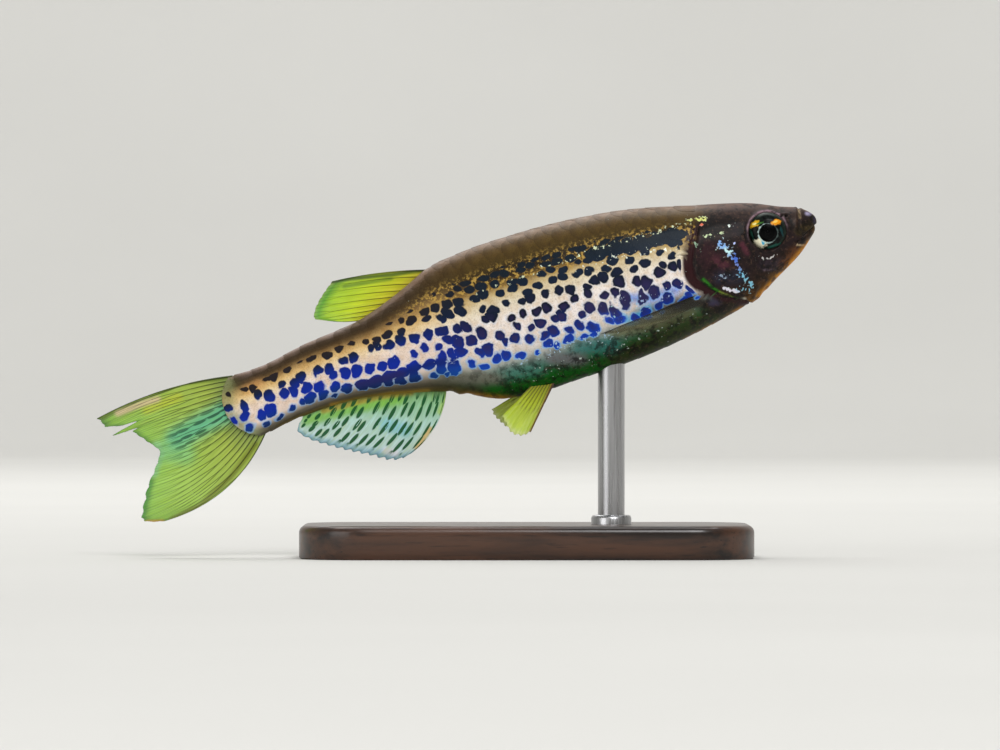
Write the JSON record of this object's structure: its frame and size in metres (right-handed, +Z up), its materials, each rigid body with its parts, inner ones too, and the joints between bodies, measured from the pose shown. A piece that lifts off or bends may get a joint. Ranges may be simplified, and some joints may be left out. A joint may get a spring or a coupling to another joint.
{
  "type": "leopard danio fish model on stand",
  "caption": "Life-size leopard-spotted zebra danio, head up as it swims, with spread ray fins, held by one short rod on a flat base.",
  "frame": {"origin": "on the surface that the stand rests on, under the middle of the model's length and width", "axes": "+X towards the fish's head, +Y to its left, +Z up"},
  "size_m": [0.0429, 0.015, 0.0212],
  "materials": {
    "skin": "scaled and moist, pearly flanks with dark blue spots under an olive brown back",
    "fin": "thin clear yellow-green membrane between dark rays",
    "eye": "wet and glossy, black pupil in a silver and gold iris",
    "base": "dark stained, satin lacquered",
    "rod": "brushed"
  },
  "bodies": {
    "root": {"head": "skin", "gill_cover_right": "skin", "gill_cover_left": "skin", "trunk": "skin", "tail_stalk": "skin", "eye_right": "eye", "eye_left": "eye", "dorsal_fin": "fin", "anal_fin": "fin", "caudal_fin": "fin", "pectoral_fin_right": "fin", "pectoral_fin_left": "fin", "pelvic_fin_right": "fin", "pelvic_fin_left": "fin", "stand_base": "base", "stand_rod": "rod"}
  },
  "joints": []
}
